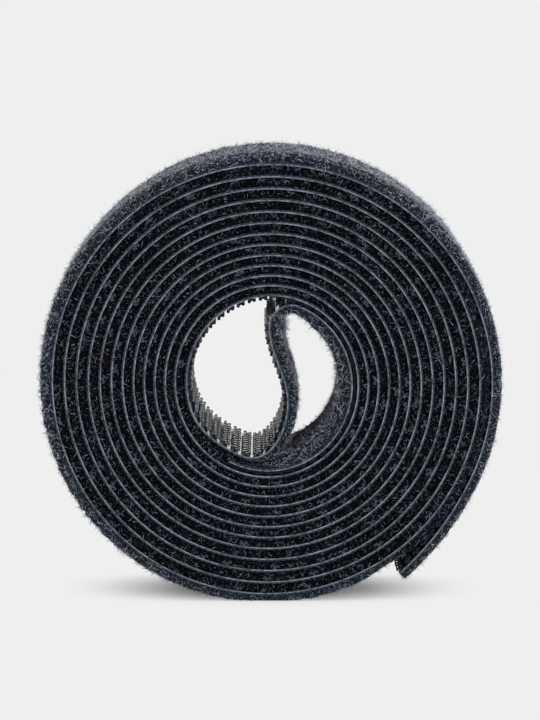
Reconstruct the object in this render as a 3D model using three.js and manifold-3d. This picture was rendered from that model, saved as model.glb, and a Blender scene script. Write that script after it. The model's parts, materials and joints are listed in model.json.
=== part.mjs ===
// Coreless roll of back-to-back hook and loop tape, standing on its last turn.
// Millimetres, +Z up. The roll's axis runs along Y and the front edge of the tape faces -Y.

import * as THREE from "three";
import { mergeVertices } from "three/addons/utils/BufferGeometryUtils.js";
import Module from "manifold-3d";

// Tape, whose hook web, bond and loop web lie back to back over the same width
const TAPE_WIDTH = 20;
const HOOK_FILM = 0.26;
const BOND_FILM = 0.08;
const LOOP_PRESSED = 0.5; // loop web under the next turn
const LOOP_WEDGED = 0.36; // loop web where two of them share one gap
const LOOP_FREE = 1.55; // loop web with nothing on it

// Hook rows, moulded in one with the hook film
const HOOK_PITCH = 1.77;
const HOOK_HEIGHT = 0.8;
const HOOK_SPREAD = 1.2;
const HOOK_SHOULDER = 0.86; // width over the tops of the two arms
const HOOK_STEM = 0.3;
const HOOK_FLARE = 0.16; // the stem's foot stands out this far each way
const HOOK_FORK = 0.3; // height at which the stem parts into arms
const HOOK_BARB = 0.16; // the tips hang this far below the arms
const HOOK_TIP = 0.07;
const HOOK_DIP = 0.14; // groove between the two arms
const HOOK_EDGE = 0.15; // from the tape's edge to a row's end
const HOOK_ROOT = 0.1; // a row's root inside the film

// Winding, counted in turns from the bottom of the innermost one
const WHOLE_TURNS = 12;
const END_TURN = 0.905; // the free end runs this far past the bottom
const BORE_RADIUS = 12.8;
const TURN_GAP = 0.62; // filled by the buried hooks
const LOOSENING = 0.034; // each turn's pitch over that of the turn inside it
const BORE_STRETCH = 0.24; // the bore stands this much taller than round, fading outwards
const FREE_RISE = 0.04; // turns in which the loop web rises once it is uncovered

// Inner end, a crescent lying hooks to hooks on the innermost wall
const CRESCENT_TURNS = 0.52;
const CRESCENT_TOP = 0.555; // turn at which it leaves the wall for the bend
const HOOK_TO_HOOK = 0.6;
const WEDGE_GAP = 0.55; // between the two loop webs over the crescent's end
const WEDGE_TURN = 0.08; // turns in which the crescent's loop web closes up
const WEDGE_END = 0.04; // turns from there to its end
const ROOT_SLACK = 0.22; // the innermost turn stands off the next one by this much more
const ROOT_EASE = 0.12; // turns in which it eases out past the crescent's end
const ROOT_RISE = 0.16; // turns in which it joins the even winding, up to the bend

// Tongue, an S across the bore from the bend down to the innermost turn
const BEND_X = 0.1;
const BEND_DROP = 4.8; // from the wall's top to the end of the bend
const BULGE_X = 2.92;
const BULGE_Z = -2.95;
const ROOT_TURN = 0.055; // turn at which the tongue runs into the winding
const CLOSE_FROM = 0.4; // share of the way from bulge to root where its loop web starts to close up
const CLOSE_TO = 0.8;
const BEND_PULL = 2;
const TONGUE_PULL = 4.5;

// Free end, which peels in short stiff lengths
const TAB_LENGTHS = 6;
const TAB_TURN = 0.04; // turns per length
const END_LIFT = 1.3;
const LIFT_TURN = 0.085; // turns over which the end stands off the roll

// Facets
const COVERED_STEPS = 24;
const OPEN_STEPS = 48;
const BEND_STEPS = 8;
const TONGUE_STEPS = 8;
const ROOT_STEPS = 10;
const FOOT_CUT = 0.5;

const wasm = await Module();
wasm.setup();
const { clamp, lerp, smoothstep } = THREE.MathUtils;
const TINY_TURN = 1e-4;
const HALF_TURN = 0.5; // the top of the innermost turn

const turnPitch = HOOK_FILM + BOND_FILM + LOOP_PRESSED + TURN_GAP;
const hookStack = 2 * HOOK_FILM + HOOK_TO_HOOK;
const tuck = hookStack + 2 * (BOND_FILM + LOOP_WEDGED) + WEDGE_GAP - turnPitch;
const lastTurn = WHOLE_TURNS + END_TURN;
const coveredTurn = lastTurn - 1;
const tabStart = lastTurn - TAB_LENGTHS * TAB_TURN;
const crescentEnd = CRESCENT_TOP + CRESCENT_TURNS;

// How far the innermost turn has come out from over the crescent's end, 0 to 1
function pastCrescent(turn) {
  return smoothstep(turn, crescentEnd - 1, crescentEnd - 1 + ROOT_EASE);
}

// The innermost turn is tucked in over the crescent's end and joins the even winding past the bend.
function tuckAt(turn) {
  const slack = ROOT_SLACK * (1 - smoothstep(turn, CRESCENT_TOP - ROOT_RISE, CRESCENT_TOP));
  return lerp(tuck, slack, pastCrescent(turn));
}

// Radius of the line between hook film and bond
function windingRadius(turn) {
  const even = BORE_RADIUS + turnPitch * turn + (LOOSENING * turn * turn) / 2;
  const upright = Math.cos(4 * Math.PI * turn);
  const stretch = BORE_STRETCH * Math.max(0, 1 - turn / lastTurn) * upright;
  const lifted = Math.max(0, (turn - lastTurn) / LIFT_TURN + 1);
  return even + stretch - tuckAt(turn) + END_LIFT * lifted * lifted;
}

function around(turn, radius) {
  const angle = 2 * Math.PI * turn;
  return new THREE.Vector2(-radius * Math.sin(angle), -radius * Math.cos(angle));
}

// A station is a point of the line, the way it runs, the way its loops face and its loop thickness.
function station(point, tangent, loop) {
  const along = tangent.clone().normalize();
  const normal = new THREE.Vector2(-along.y, along.x);
  return { point, along, normal, loop };
}

function windingStation(turn) {
  const at = (t) => around(t, windingRadius(t));
  const buried = lerp(LOOP_WEDGED, LOOP_PRESSED, pastCrescent(turn));
  const loop = lerp(buried, LOOP_FREE, smoothstep(turn, coveredTurn, coveredTurn + FREE_RISE));
  return station(at(turn), at(turn + TINY_TURN).sub(at(turn - TINY_TURN)), loop);
}

function crescentStation(turn) {
  const at = (t) => around(t, windingRadius(t) - hookStack);
  const wedge = crescentEnd - WEDGE_END;
  const loop = lerp(LOOP_FREE, LOOP_WEDGED, smoothstep(turn, wedge - WEDGE_TURN, wedge));
  return station(at(turn), at(turn - TINY_TURN).sub(at(turn + TINY_TURN)), loop);
}

// Facets keep to round shares of a turn, so that the chords of neighbouring turns lie parallel.
function turnsFrom(first, last, steps) {
  const turns = [first];
  const sliver = 0.2;
  for (let k = Math.ceil(first * steps + sliver); k < last * steps - sliver; k += 1) {
    turns.push(k / steps);
  }
  return turns;
}

function curveStations(from, to, pull, steps, loopAt) {
  const leave = from.point.clone().addScaledVector(from.along, pull);
  const arrive = to.point.clone().addScaledVector(to.along, -pull);
  const curve = new THREE.CubicBezierCurve(from.point, leave, arrive, to.point);
  const stations = [];
  for (let k = 0; k < steps; k += 1) {
    const t = k / steps;
    stations.push(station(curve.getPoint(t), curve.getTangent(t), loopAt(t)));
  }
  return stations;
}

const crescentTop = crescentStation(CRESCENT_TOP);
const root = windingStation(ROOT_TURN);
const down = new THREE.Vector2(0, -1);
const bend = { point: new THREE.Vector2(BEND_X, windingRadius(HALF_TURN) - BEND_DROP), along: down };
const bulge = { point: new THREE.Vector2(BULGE_X, BULGE_Z), along: down };
const free = () => LOOP_FREE;
const closing = (t) => lerp(LOOP_FREE, LOOP_WEDGED, smoothstep(t, CLOSE_FROM, CLOSE_TO));

const crescentTurns = turnsFrom(-crescentEnd, -CRESCENT_TOP, COVERED_STEPS);
const crescent = crescentTurns.map((turn) => crescentStation(-turn));
const turnOver = curveStations(crescentTop, bend, BEND_PULL, BEND_STEPS, free);
const tongue = [
  ...curveStations(bend, bulge, TONGUE_PULL, TONGUE_STEPS, free),
  ...curveStations(bulge, root, TONGUE_PULL, ROOT_STEPS, closing),
];
const innermost = turnsFrom(ROOT_TURN, HALF_TURN, OPEN_STEPS).map(windingStation);
const covered = turnsFrom(HALF_TURN, coveredTurn, COVERED_STEPS).map(windingStation);
const outermost = [...turnsFrom(coveredTurn, tabStart, OPEN_STEPS), tabStart].map(windingStation);
const strip = [...crescent, ...turnOver, ...tongue, ...innermost, ...covered, ...outermost];

function side(at, offset) {
  return at.point.clone().addScaledVector(at.normal, offset);
}

const LAYERS = {
  hook_web: { from: () => -HOOK_FILM, to: () => 0 },
  bond_film: { from: () => 0, to: () => BOND_FILM },
  loop_web: { from: () => BOND_FILM, to: (at) => BOND_FILM + at.loop },
};

// One layer of the tape along a run of stations, as a closed band from edge to edge
function band(stations, layer) {
  const half = TAPE_WIDTH / 2;
  const positions = [];
  for (const at of stations) {
    const inner = side(at, layer.from(at));
    const outer = side(at, layer.to(at));
    positions.push(inner.x, -half, inner.y, outer.x, -half, outer.y);
    positions.push(outer.x, half, outer.y, inner.x, half, inner.y);
  }
  const index = [0, 1, 2, 0, 2, 3];
  for (let i = 0; i < stations.length - 1; i += 1) {
    for (let k = 0; k < 4; k += 1) {
      const a = 4 * i + k;
      const d = 4 * i + ((k + 1) % 4);
      index.push(a, a + 4, d + 4, a, d + 4, d);
    }
  }
  const end = 4 * (stations.length - 1);
  index.push(end, end + 2, end + 1, end, end + 3, end + 2);
  const geometry = new THREE.BufferGeometry();
  geometry.setAttribute("position", new THREE.Float32BufferAttribute(positions, 3));
  geometry.setIndex(index);
  return geometry;
}

function solidOf(geometry) {
  const bare = geometry.clone();
  bare.deleteAttribute("normal");
  bare.deleteAttribute("uv");
  const merged = mergeVertices(bare, 1e-4);
  return new wasm.Manifold(
    new wasm.Mesh({
      numProp: 3,
      vertProperties: merged.attributes.position.array,
      triVerts: new Uint32Array(merged.index.array),
    }),
  );
}

function geometryOf(solid) {
  const mesh = solid.getMesh();
  const geometry = new THREE.BufferGeometry();
  geometry.setAttribute("position", new THREE.BufferAttribute(mesh.vertProperties, 3));
  geometry.setIndex(new THREE.BufferAttribute(mesh.triVerts, 1));
  return geometry;
}

// One row of hooks across the tape: a stem that parts into two arms with hanging tips
function hookRow(foot, along, rise) {
  const half = [
    [HOOK_STEM / 2 + HOOK_FLARE, -HOOK_ROOT],
    [HOOK_STEM / 2, HOOK_FORK],
    [HOOK_SHOULDER / 2, HOOK_FORK + HOOK_BARB],
    [HOOK_SPREAD / 2 - HOOK_TIP, HOOK_FORK],
    [HOOK_SPREAD / 2, HOOK_FORK + HOOK_BARB],
    [HOOK_SHOULDER / 2, HOOK_HEIGHT],
  ];
  const mirrored = half.map(([u, v]) => [-u, v]).reverse();
  const outline = [...half, [0, HOOK_HEIGHT - HOOK_DIP], ...mirrored];
  const shape = new THREE.Shape(
    outline.map(([u, v]) => foot.clone().addScaledVector(along, u).addScaledVector(rise, v)),
  );
  const row = new THREE.ExtrudeGeometry(shape, {
    depth: TAPE_WIDTH - 2 * HOOK_EDGE,
    bevelEnabled: false,
  });
  row.rotateX(Math.PI / 2);
  row.translate(0, TAPE_WIDTH / 2 - HOOK_EDGE, 0);
  return row;
}

// Rows stand on the facets of the film, one pitch apart, all round the lobe that the hooks face.
function hookRows(stations) {
  const rows = [];
  let next = HOOK_PITCH / 2;
  let run = 0;
  for (let i = 0; i < stations.length - 1; i += 1) {
    const from = side(stations[i], -HOOK_FILM);
    const to = side(stations[i + 1], -HOOK_FILM);
    const length = from.distanceTo(to);
    const along = to.clone().sub(from).divideScalar(length);
    const rise = new THREE.Vector2(along.y, -along.x);
    for (; next < run + length; next += HOOK_PITCH) {
      rows.push(hookRow(from.clone().addScaledVector(along, next - run), along, rise));
    }
    run += length;
  }
  return rows;
}

// Least gap of the strip to itself, from the corner points of one face to the facets of another
function leastGap(stations, apart) {
  const runs = [0];
  for (let i = 1; i < stations.length; i += 1) {
    runs.push(runs[i - 1] + stations[i].point.distanceTo(stations[i - 1].point));
  }
  const faces = [() => -HOOK_FILM, (at) => BOND_FILM + at.loop];
  const lines = faces.map((offset) => stations.map((at) => side(at, offset(at))));
  let least = Infinity;
  for (const points of lines) {
    for (const facets of lines) {
      for (let i = 0; i < points.length; i += 1) {
        for (let j = 0; j < facets.length - 1; j += 1) {
          if (Math.abs(runs[i] - runs[j]) < apart || Math.abs(runs[i] - runs[j + 1]) < apart) {
            continue;
          }
          const along = facets[j + 1].clone().sub(facets[j]);
          const reach = points[i].clone().sub(facets[j]);
          const share = clamp(reach.dot(along) / along.lengthSq(), 0, 1);
          least = Math.min(least, reach.addScaledVector(along, -share).length());
        }
      }
    }
  }
  return least;
}

const MATERIALS = {
  hook_web: new THREE.MeshStandardMaterial({ color: 0x3a3d44, roughness: 0.4 }),
  bond_film: new THREE.MeshStandardMaterial({ color: 0x17181c, roughness: 0.6 }),
  loop_web: new THREE.MeshStandardMaterial({ color: 0x14161e, roughness: 0.95 }),
};

const tape = new THREE.Group();
tape.name = "hook_and_loop_tape_roll";

function addPiece(prefix, layer, geometry) {
  const piece = new THREE.Mesh(geometry, MATERIALS[layer]);
  piece.name = prefix + "_" + layer;
  tape.add(piece);
}

// Wound length, from the inner end to the root of the free end
const hookStretch = [...tongue, ...innermost];
const rowSolids = hookRows(hookStretch).map(solidOf);
const woundHook = solidOf(band(strip, LAYERS.hook_web));
const woundLoop = solidOf(band(strip, LAYERS.loop_web));
const footLevel = woundLoop.boundingBox().min[2] + FOOT_CUT;
const below = new THREE.BoxGeometry(4 * BORE_RADIUS, 2 * TAPE_WIDTH, 2 * BORE_RADIUS);
below.translate(0, 0, footLevel - BORE_RADIUS);
addPiece("wound", "hook_web", geometryOf(wasm.Manifold.union([woundHook, ...rowSolids])));
addPiece("wound", "bond_film", band(strip, LAYERS.bond_film));
addPiece("wound", "loop_web", geometryOf(woundLoop.subtract(solidOf(below))));

// Free end, whose lengths turn about the tops of the loops where one meets the next
const hinges = [];
for (let k = 0; k < TAB_LENGTHS; k += 1) {
  const first = tabStart + k * TAB_TURN;
  const turns = [first, first + TAB_TURN / 2, first + TAB_TURN];
  const stations = turns.map(windingStation);
  for (const layer of Object.keys(LAYERS)) {
    addPiece("tab_" + (k + 1), layer, band(stations, LAYERS[layer]));
  }
  const pivot = side(stations[0], BOND_FILM + LOOP_FREE);
  hinges.push([pivot.x, 0, pivot.y - footLevel]);
}
tape.userData.hinges = hinges;

// The foot's flat lies on z = 0, under the roll's axis.
for (const piece of tape.children) {
  piece.geometry.translate(0, 0, -footLevel);
  piece.geometry.computeVertexNormals();
}
const apart = 4 * (HOOK_FILM + BOND_FILM + LOOP_FREE);
console.log("least gap of the strip to itself: " + leastGap(strip, apart).toFixed(2) + " mm");

export default tape;
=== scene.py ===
# Coreless roll of back-to-back hook and loop tape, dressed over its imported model.
# Meshes are in metres. The tape's own sizes are in millimetres and pass through MM.

import json
import math

import bmesh
import bpy
import numpy as np
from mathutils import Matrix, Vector


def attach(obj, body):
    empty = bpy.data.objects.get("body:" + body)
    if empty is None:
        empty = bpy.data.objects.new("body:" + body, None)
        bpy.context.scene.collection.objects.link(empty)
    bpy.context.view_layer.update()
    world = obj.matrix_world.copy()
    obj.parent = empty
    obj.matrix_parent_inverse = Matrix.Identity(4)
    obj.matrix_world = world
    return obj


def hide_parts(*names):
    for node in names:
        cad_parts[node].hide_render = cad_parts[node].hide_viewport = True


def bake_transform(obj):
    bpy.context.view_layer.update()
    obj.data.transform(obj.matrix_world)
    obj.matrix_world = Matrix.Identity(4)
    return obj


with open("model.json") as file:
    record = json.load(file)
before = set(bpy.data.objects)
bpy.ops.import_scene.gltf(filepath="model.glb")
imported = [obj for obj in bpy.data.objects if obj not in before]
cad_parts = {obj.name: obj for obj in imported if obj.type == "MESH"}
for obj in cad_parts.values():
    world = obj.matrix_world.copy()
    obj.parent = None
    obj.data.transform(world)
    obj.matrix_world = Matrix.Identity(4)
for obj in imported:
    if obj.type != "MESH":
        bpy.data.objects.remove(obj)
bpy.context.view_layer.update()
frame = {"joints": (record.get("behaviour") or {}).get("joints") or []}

MM = 0.001

# Tape, whose layers lie back to back over the same width
TAPE_WIDTH = 20
HOOK_FILM = 0.26
FILM_SHOWN = 0.19  # of the film, whose slit edge looks this thin
BOND_FILM = 0.08
LOOP_GROUND = 0.14  # knitted ground that carries the pile
BOND_INSET = 0.05  # from the film's slit edge to the bond's, and to the ground's
GROUND_INSET = 0.025
LOOP_PRESSED = 0.5  # loop web under the next turn, where two share one gap, and with nothing on it
LOOP_WEDGED = 0.36
LOOP_FREE = 1.55

# Winding, counted in turns from the bottom of the innermost one
WHOLE_TURNS = 12
END_TURN = 0.905  # the free end runs this far past the bottom
BORE_RADIUS = 12.8
TURN_GAP = 0.62  # filled by the buried hooks
LOOSENING = 0.034  # each turn's pitch over that of the turn inside it
BORE_STRETCH = 0.24  # the bore stands this much taller than round, fading outwards
FREE_RISE = 0.04  # turns in which the pile rises once it is uncovered

# Inner end, a crescent lying hooks to hooks on the innermost wall
CRESCENT_TURNS = 0.52
CRESCENT_TOP = 0.555  # turn at which it leaves the wall for the bend
HOOK_TO_HOOK = 0.6
WEDGE_GAP = 0.55  # between the two loop webs over the crescent's end
WEDGE_TURN = 0.08  # turns in which the crescent's loop web closes up, and from there to its end
WEDGE_END = 0.04
ROOT_SLACK = 0.22  # the innermost turn stands off the next one by this much more
ROOT_EASE = 0.12  # turns in which it eases out past the crescent's end
ROOT_RISE = 0.16  # turns in which it joins the even winding, up to the bend

# Tongue, an S across the bore from the bend down to the innermost turn
BEND_X = 0.1
BEND_DROP = 4.8  # from the wall's top to the end of the bend
BULGE_X = 2.92
BULGE_Z = -2.95
ROOT_TURN = 0.055  # turn at which the tongue runs into the winding
CLOSE_FROM = 0.4  # shares of the way from bulge to root between which its loop web closes up
CLOSE_TO = 0.8
BEND_PULL = 2  # how strongly the curves hold their way at the ends
TONGUE_PULL = 4.5

# Free end, which peels in six lengths
TAB_LENGTHS = 6
TAB_TURN = 0.04  # turns per length
END_LIFT = 1.3
LIFT_TURN = 0.085  # turns over which the end stands off the roll

# Hooks, moulded in rows across the tape, each row cut into slices
HOOK_PITCH = 1.86
SLICES = 10
SLICE_PITCH = 2
SLICE_THICKNESS = 0.62
HOOK_ARM_REACH = 0.4  # from the stem's middle to the middle of an arm's curl, and its height over the film
HOOK_ARM_HEIGHT = 0.42
HOOK_ARM_OUTER = 0.28  # radii of an arm's curl, outside and inside
HOOK_ARM_INNER = 0.08
HOOK_STEM = 0.32
HOOK_FOOT = 0.8
HOOK_TIP_ANGLE = -60  # degrees from level at which an arm ends, and at which it leaves the stem
HOOK_ROOT_ANGLE = 178
HELD_HEIGHT = 0.75  # of a hook's height, where hooks are pressed on hooks
HOOK_LEAST = (0.92, 0.9, 0.94)  # shares of a hook's sizes between which they vary
HOOK_MOST = (1.06, 1.05, 1.04)
HOOK_SWAY = 0.03  # radians by which hooks lean, and by which those cut through at the edges do
SLIT_SWAY = 0.3
SLIT_DRAW_BACK = 0.1  # share of the way to the middle that a cut hook may lie inside the edge

# Pile, a matted core with loose fibres over it
PILE_INSET = 0.4  # its edges lie this far inside the slit edges of the film
PILE_FREE = 1.52  # height over the ground with nothing on it
PILE_BORE = 1.75  # height on the crescent, where nothing has pressed it
PILE_TONGUE = 1.3
BEND_FULLER = 0.8  # added on the tongue just below the bend
BEND_RISE = 3  # along the tape over which that comes in, and over which it goes
BEND_FALL = 7
PILE_END = 1.3  # height on the free end
PILE_FULLER = 0.32  # added on the side away from the free end, a little below the middle
FULLER_TURN = 0.05
PILE_FREED = 1.1  # height where it comes out from under the free end
RISE_BEFORE = 0.03  # turns over which it closes up towards the free end's edge
PILE_MATTED = 0.9  # share of the height that the core takes up
BORE_MATTED = 0.88
FIBRE_LENGTHS = (0.3, 0.62)  # as shares of the core's height
BORE_LENGTHS = (0.35, 0.65)
PILE_PRESSED = 0.02  # how far a covered pile is pressed against the next film
FIBRE_THICKNESS = 0.085  # real loops are about 0.03, drawn coarser and fewer so that they show
TANGLE_THICKNESS = 0.09  # of the loops between the turns
TANGLE_LENGTHS = (0.15, 0.4)
CROWN_LOOPS = 10  # to a square millimetre of the pile's crown, and of its edges
EDGE_LOOPS = 18
CLUMP_FROM = 0.42  # noise at which a barer place ends, and at which a clump is full
CLUMP_TO = 0.6
BARE = 0.3  # share of its loops, and of their length, that a barer place has, and that a full clump has
FULL = 1.3
SPLAY = 1.0  # how far loops stray from straight out
FACE_SHARE = 0.7  # how far straight out follows the core's own face, to one part of the tape's
SAG_LEAST = 0.4  # shares of the droop between which loops vary
SAG_MOST = 1.3
OWN_SHADE = 0.45  # share of a loop's lightness that is its own random tone, and that it has with its clump as painted light
CLUMP_PAINTED_LIGHT = 0.55
SHADE_FROM = 0.38  # noise between which a clump's painted light goes from dark to light, lighter on full clumps and darker in barer places
SHADE_TO = 0.62
TIP_TAPER = 0.5
FIBRE_SIDES = 3
LUMP_HEIGHT = 0.8
EDGE_DROP = 0.4
ROUND_FROM = 0.43  # share of the width, from its middle, at which the pile's edges round off
LUMP_SIZE = 0.8  # of the core's lumps, of clumps of roots and of tufts that lean alike
CLUMP_SIZE = 0.5
TUFT_SIZE = 1.1
WANDER = 0.1  # the turns don't lie quite flush
WANDER_LENGTH = 28
FOOT_CLEAR = 0.05  # from the surface under the roll to the loops that it presses flat

# Patterns of the finishes
DRAW_LENGTH = 8  # of a draw line on the film, and its width
DRAW_WIDTH = 0.25
SLIT_LIGHT_SIZE = 0.7  # of the lighter and darker lengths of painted light on the slit edges
CLOUD_SIZE = 0.6  # of the changes in a hook's gloss
ADHESIVE_LUMP = 0.4
WALE_SPACING = 0.9  # along the tape, of wales that run on the slant
WAVE_LENGTH = math.pi / 5  # of a wave texture whose scale is one
TANGLE_SIZE = 0.35

# Steps of the modelled line
COVERED_STEPS = 108  # to a turn, where only the tape's edges show
OPEN_STEPS = 320  # to a turn, where the pile shows
CURVE_STEPS = 40
TAB_STEPS = 12
PILE_THREADS = 44
COVERED_PARTS = 5  # the long piles are made in so many pieces
OUTER_PARTS = 4
TINY_TURN = 1e-4
HALF_TURN = 0.5
WELD = 0.002
CREASE = 50  # degrees at which an edge stays sharp

# Seeds, one for each pile and each set of hooks
COVERED_SEED = 10
OUTER_SEED = 20
INNER_SEED = 30
HOOK_SEED = 40
FREE_HOOK_SEED = 50
FREE_PILE_SEED = 60

turn_pitch = HOOK_FILM + BOND_FILM + LOOP_PRESSED + TURN_GAP
hook_stack = 2 * HOOK_FILM + HOOK_TO_HOOK
tuck = hook_stack + 2 * (BOND_FILM + LOOP_WEDGED) + WEDGE_GAP - turn_pitch
last_turn = WHOLE_TURNS + END_TURN
covered_turn = last_turn - 1
tab_start = last_turn - TAB_LENGTHS * TAB_TURN
under_turn = tab_start - 1
pile_floor = BOND_FILM + LOOP_GROUND
crescent_end = CRESCENT_TOP + CRESCENT_TURNS
pile_width = TAPE_WIDTH - 2 * PILE_INSET
bond_width = TAPE_WIDTH - 2 * BOND_INSET
ground_width = TAPE_WIDTH - 2 * GROUND_INSET
edge_lanes = TAPE_WIDTH - SLICE_THICKNESS - 2 * BOND_INSET


# The line of the tape, between hook film and bond

def smooth(value, low, high):
    share = np.clip((value - low) / (high - low), 0, 1)
    return share * share * (3 - 2 * share)


def mixed(a, b, share):
    return a + (b - a) * share


def past_crescent(turn):
    return smooth(turn, crescent_end - 1, crescent_end - 1 + ROOT_EASE)


def winding_radius(turn):
    even = BORE_RADIUS + turn_pitch * turn + LOOSENING * turn * turn / 2
    stretch = BORE_STRETCH * np.maximum(0, 1 - turn / last_turn) * np.cos(4 * math.pi * turn)
    slack = ROOT_SLACK * (1 - smooth(turn, CRESCENT_TOP - ROOT_RISE, CRESCENT_TOP))
    lifted = np.maximum(0, (turn - last_turn) / LIFT_TURN + 1)
    return even + stretch - mixed(tuck, slack, past_crescent(turn)) + END_LIFT * lifted * lifted


def around(turn, radius):
    angle = 2 * math.pi * turn
    return np.stack([-radius * np.sin(angle), -radius * np.cos(angle)], axis=-1)


class Line:
    """Stations of the tape: where each is, how the tape runs and faces, and how thick its loop web is"""

    def __init__(self, point, way, loop, run=None):
        self.point = point
        self.along = way / np.linalg.norm(way, axis=1, keepdims=True)
        self.facing = np.stack([-self.along[:, 1], self.along[:, 0]], axis=1)
        self.loop = loop
        step = np.linalg.norm(np.diff(point, axis=0), axis=1)
        self.run = np.concatenate([[0], np.cumsum(step)]) if run is None else run

    def plus(self, other):
        fields = [np.concatenate([getattr(self, k), getattr(other, k)]) for k in ("point", "along", "loop")]
        return Line(*fields)

    def part(self, first, last):
        """Stations first to last, both included, with the run that they have on the whole line"""
        keep = slice(first, last + 1)
        return Line(self.point[keep], self.along[keep], self.loop[keep], self.run[keep])

    def side(self, offset):
        return self.point + self.facing * np.reshape(offset, (-1, 1))


def winding(turns):
    def at(turn):
        return around(turn, winding_radius(turn))

    buried = mixed(LOOP_WEDGED, LOOP_PRESSED, past_crescent(turns))
    loop = mixed(buried, LOOP_FREE, smooth(turns, covered_turn, covered_turn + FREE_RISE))
    return Line(at(turns), at(turns + TINY_TURN) - at(turns - TINY_TURN), loop)


def crescent(turns):
    def at(turn):
        return around(turn, winding_radius(turn) - hook_stack)

    wedge = crescent_end - WEDGE_END
    loop = mixed(LOOP_FREE, LOOP_WEDGED, smooth(turns, wedge - WEDGE_TURN, wedge))
    return Line(at(turns), at(turns - TINY_TURN) - at(turns + TINY_TURN), loop)


def curve(start, start_way, end, end_way, pull, close_from=None):
    """A cubic curve between two stations, without its last point"""
    t = np.linspace(0, 1, CURVE_STEPS + 1)[:-1, None]
    leave = start + start_way * pull
    arrive = end - end_way * pull
    u = 1 - t
    point = u**3 * start + 3 * u * u * t * leave + 3 * u * t * t * arrive + t**3 * end
    way = u * u * (leave - start) + 2 * u * t * (arrive - leave) + t * t * (end - arrive)
    closing = 0 if close_from is None else smooth(t[:, 0], close_from, CLOSE_TO)
    return Line(point, way, mixed(LOOP_FREE, LOOP_WEDGED, closing) * np.ones(CURVE_STEPS))


def turns_between(first, last, steps):
    """Turns from first up to just before last, about so many steps to a turn"""
    return np.linspace(first, last, round((last - first) * steps) + 1)[:-1]


down = np.array([0.0, -1.0])
bend = np.array([BEND_X, float(winding_radius(HALF_TURN)) - BEND_DROP])
bulge = np.array([BULGE_X, BULGE_Z])
crescent_line = crescent(-turns_between(-crescent_end, -CRESCENT_TOP, OPEN_STEPS / 2))
crescent_top = crescent(np.array([CRESCENT_TOP]))
root = winding(np.array([ROOT_TURN]))
turn_over_line = curve(crescent_top.point[0], crescent_top.along[0], bend, down, BEND_PULL)
upper_tongue = curve(bend, down, bulge, down, TONGUE_PULL)
lower_tongue = curve(bulge, down, root.point[0], root.along[0], TONGUE_PULL, CLOSE_FROM)
free_start = tab_start - TAB_TURN / 2  # the free end's first piece takes in the last of the wound tape
lobe_turns = turns_between(ROOT_TURN, HALF_TURN, COVERED_STEPS)
buried_turns = turns_between(HALF_TURN, under_turn, COVERED_STEPS)
outer_turns = turns_between(under_turn, free_start, OPEN_STEPS)
lobe_line = winding(lobe_turns)
buried_line = winding(buried_turns)
outer_line = winding(outer_turns)
free_line = winding(np.linspace(free_start, last_turn, round((TAB_LENGTHS + 0.5) * TAB_STEPS) + 1))

# The whole tape from its inner end to its outer end, and the stations at which its stretches begin
stretches = [
    crescent_line, turn_over_line, upper_tongue, lower_tongue,
    lobe_line, buried_line, outer_line, free_line,
]
whole_line = stretches[0]
for stretch in stretches[1:]:
    whole_line = whole_line.plus(stretch)
starts = np.concatenate([[0], np.cumsum([len(stretch.run) for stretch in stretches])])
at_turn_over, at_tongue, _, at_lobe, at_buried, at_outer, at_free, _ = (int(start) for start in starts[1:])
at_wall_end = at_buried + int(np.searchsorted(buried_turns, crescent_end))

# The roll's axis stands where the first hinge of the free end puts it.
first_hinge = next(joint for joint in frame["joints"] if joint["name"] == "peel_1")
hinge_from_axis = winding(np.array([tab_start])).side(BOND_FILM + LOOP_FREE)[0]
axis_height = first_hinge["pos_m"][2] / MM - hinge_from_axis[1]


def placed(points, y=0.0):
    """Points of the tape's plane, in millimetres about the axis, as points of the frame in metres"""
    depth = np.full(len(points), y)
    return np.stack([points[:, 0], depth, points[:, 1] + axis_height], axis=1) * MM


def upright(ways):
    """Ways in the tape's plane as ways in the frame"""
    return np.stack([ways[:, 0], np.zeros(len(ways)), ways[:, 1]], axis=1)


# Nodes

def linear(colour):
    """A hex sRGB colour as linear red, green, blue and alpha"""
    parts = [int(colour[i : i + 2], 16) / 255 for i in (1, 3, 5)]
    return (*[c / 12.92 if c <= 0.04045 else ((c + 0.055) / 1.055) ** 2.4 for c in parts], 1.0)


def add(tree, kind, inputs=None, **settings):
    """Adds a node with its settings. An input is a value, a socket, or a node for its first output."""
    node = tree.nodes.new(kind)
    for key, value in settings.items():
        setattr(node, key, value)
    for key, value in (inputs or {}).items():
        for item in value if isinstance(value, list) else [value]:
            source = item.outputs[0] if isinstance(item, bpy.types.Node) else item
            if isinstance(source, bpy.types.NodeSocket):
                tree.links.new(source, node.inputs[key])
            else:
                node.inputs[key].default_value = source
    return node


SOCKETS = {
    float: "NodeSocketFloat",
    int: "NodeSocketInt",
    "object": "NodeSocketObject",
    "material": "NodeSocketMaterial",
}


def new_tree(name, sizes):
    """A node tree with a mesh in, a mesh out and the named inputs"""
    tree = bpy.data.node_groups.new(name, "GeometryNodeTree")
    tree.interface.new_socket("Mesh", in_out="INPUT", socket_type="NodeSocketGeometry")
    tree.interface.new_socket("Mesh", in_out="OUTPUT", socket_type="NodeSocketGeometry")
    for size, kind in sizes.items():
        tree.interface.new_socket(size, in_out="INPUT", socket_type=SOCKETS[kind])
    return tree, add(tree, "NodeGroupInput").outputs


def finish(tree, mesh, material):
    real = add(tree, "GeometryNodeRealizeInstances", {"Geometry": mesh})
    done = add(tree, "GeometryNodeSetMaterial", {"Geometry": real, "Material": material})
    add(tree, "NodeGroupOutput", {"Mesh": done})


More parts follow.
